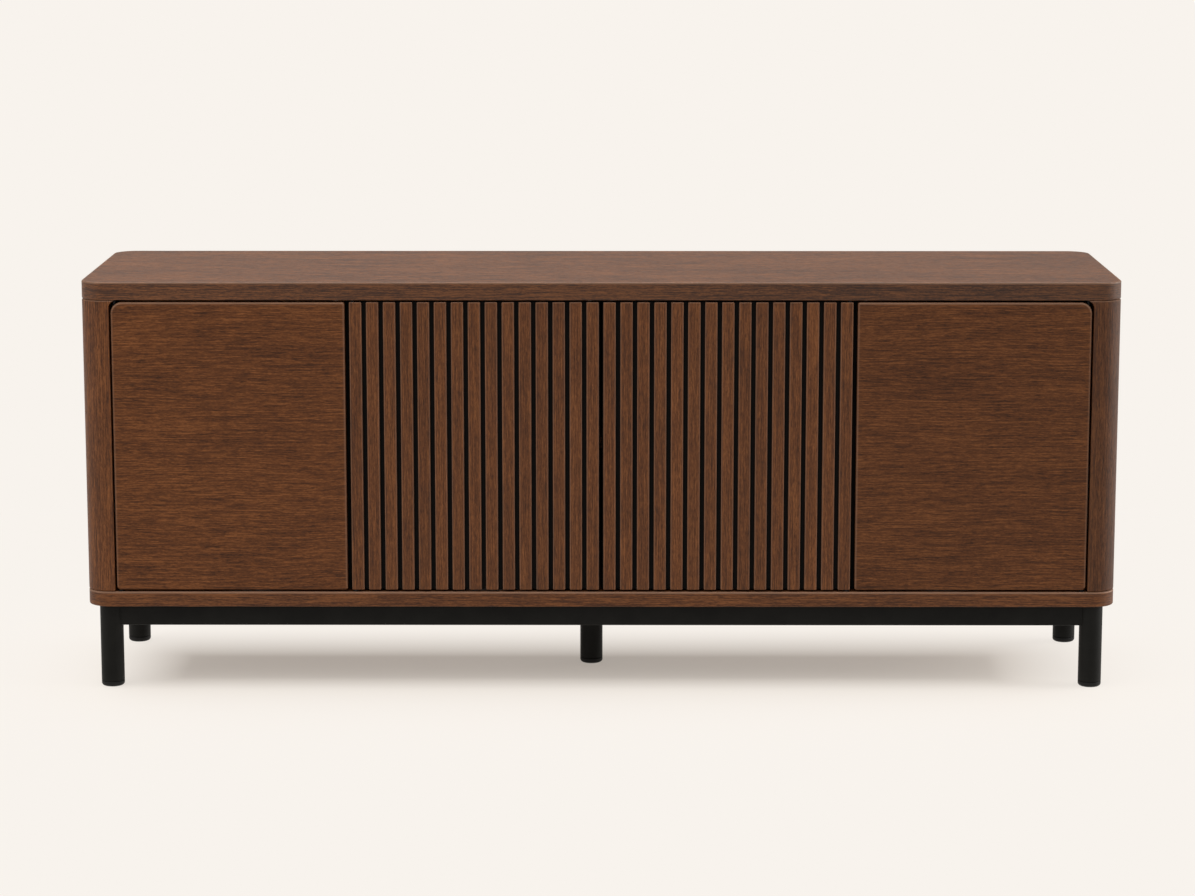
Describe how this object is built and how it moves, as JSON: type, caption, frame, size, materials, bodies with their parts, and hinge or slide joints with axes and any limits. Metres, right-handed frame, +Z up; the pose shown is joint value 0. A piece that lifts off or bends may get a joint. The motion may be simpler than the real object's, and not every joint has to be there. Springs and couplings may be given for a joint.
{
  "type": "media cabinet",
  "caption": "Low walnut media cabinet with rounded corners, plain and slatted push-to-open doors, shelved bays with cable ports, on a black steel leg frame.",
  "frame": {"origin": "on the floor, below the middle of the case", "axes": "+Z up; the doors face -Y; +X to the right of someone facing the doors"},
  "size_m": [1.6, 0.42, 0.64],
  "materials": {
    "walnut": "satin lacquer over dark-stained walnut veneer",
    "walnut_inside": "matt lacquer over walnut veneer",
    "black_board": "matt black stained board",
    "black_enamel": "matt black powder coat",
    "black_nylon": "matt black nylon",
    "pivot_steel": "black oxide",
    "latch_plastic": "grey moulded plastic",
    "zinc_steel": "zinc plated"
  },
  "bodies": {
    "root": {"back_panel_centre": "black_board", "back_panel_left": "black_board", "back_panel_right": "black_board", "bottom_panel": "walnut", "cable_grommet_centre": "black_nylon", "cable_grommet_left": "black_nylon", "cable_grommet_right": "black_nylon", "cross_rail": "black_enamel", "divider_left": "walnut_inside", "divider_right": "walnut_inside", "front_glide_left": "black_nylon", "front_glide_right": "black_nylon", "front_leg_left": "black_enamel", "front_leg_right": "black_enamel", "front_post_left": "walnut", "front_post_right": "walnut", "front_rail": "black_enamel", "middle_glide": "black_nylon", "middle_leg": "black_enamel", "plain_door_pin_bottom_left": "pivot_steel", "plain_door_pin_bottom_right": "pivot_steel", "plain_door_pin_top_left": "pivot_steel", "plain_door_pin_top_right": "pivot_steel", "plain_latch_housing_left": "latch_plastic", "plain_latch_housing_right": "latch_plastic", "rear_glide_left": "black_nylon", "rear_glide_right": "black_nylon", "rear_leg_left": "black_enamel", "rear_leg_right": "black_enamel", "rear_post_left": "walnut", "rear_post_right": "walnut", "rear_rail": "black_enamel", "shelf_centre": "walnut_inside", "shelf_left": "walnut_inside", "shelf_right": "walnut_inside", "side_panel_left": "walnut", "side_panel_right": "walnut", "side_rail_left": "black_enamel", "side_rail_right": "black_enamel", "slat_door_pin_bottom_left": "pivot_steel", "slat_door_pin_bottom_right": "pivot_steel", "slat_door_pin_top_left": "pivot_steel", "slat_door_pin_top_right": "pivot_steel", "slat_latch_housing_left": "latch_plastic", "slat_latch_housing_right": "latch_plastic", "top_panel": "walnut"},
    "plain_door_left": {"plain_door_left": "walnut", "plain_door_strike_left": "zinc_steel"},
    "slat_door_left": {"slat_panel_left": "walnut", "slat_door_board_left": "black_board", "slat_door_strike_left": "zinc_steel"},
    "plain_latch_plunger_left": {"plain_latch_plunger_left": "black_nylon"},
    "slat_latch_plunger_left": {"slat_latch_plunger_left": "black_nylon"},
    "plain_door_right": {"plain_door_right": "walnut", "plain_door_strike_right": "zinc_steel"},
    "slat_door_right": {"slat_panel_right": "walnut", "slat_door_board_right": "black_board", "slat_door_strike_right": "zinc_steel"},
    "plain_latch_plunger_right": {"plain_latch_plunger_right": "black_nylon"},
    "slat_latch_plunger_right": {"slat_latch_plunger_right": "black_nylon"}
  },
  "joints": [
    {"name": "plain_door_left_hinge", "type": "hinge", "parent": "root", "child": "plain_door_left", "pos_m": [-0.7465, -0.2039, 0.384], "axis": [0, 0, -1], "range_deg": [0, 90]},
    {"name": "slat_door_left_hinge", "type": "hinge", "parent": "root", "child": "slat_door_left", "pos_m": [-0.381, -0.2039, 0.384], "axis": [0, 0, -1], "range_deg": [0, 90]},
    {"name": "plain_door_right_hinge", "type": "hinge", "parent": "root", "child": "plain_door_right", "pos_m": [0.7465, -0.2039, 0.384], "axis": [0, 0, 1], "range_deg": [0, 90]},
    {"name": "slat_door_right_hinge", "type": "hinge", "parent": "root", "child": "slat_door_right", "pos_m": [0.381, -0.2039, 0.384], "axis": [0, 0, 1], "range_deg": [0, 90]},
    {"name": "plain_latch_plunger_left_slide", "type": "slide", "parent": "root", "child": "plain_latch_plunger_left", "axis": [0, 1, 0], "range_m": [0, 0.0035], "stiffness_N_per_m": 600},
    {"name": "slat_latch_plunger_left_slide", "type": "slide", "parent": "root", "child": "slat_latch_plunger_left", "axis": [0, 1, 0], "range_m": [0, 0.0035], "stiffness_N_per_m": 600},
    {"name": "plain_latch_plunger_right_slide", "type": "slide", "parent": "root", "child": "plain_latch_plunger_right", "axis": [0, 1, 0], "range_m": [0, 0.0035], "stiffness_N_per_m": 600},
    {"name": "slat_latch_plunger_right_slide", "type": "slide", "parent": "root", "child": "slat_latch_plunger_right", "axis": [0, 1, 0], "range_m": [0, 0.0035], "stiffness_N_per_m": 600}
  ]
}
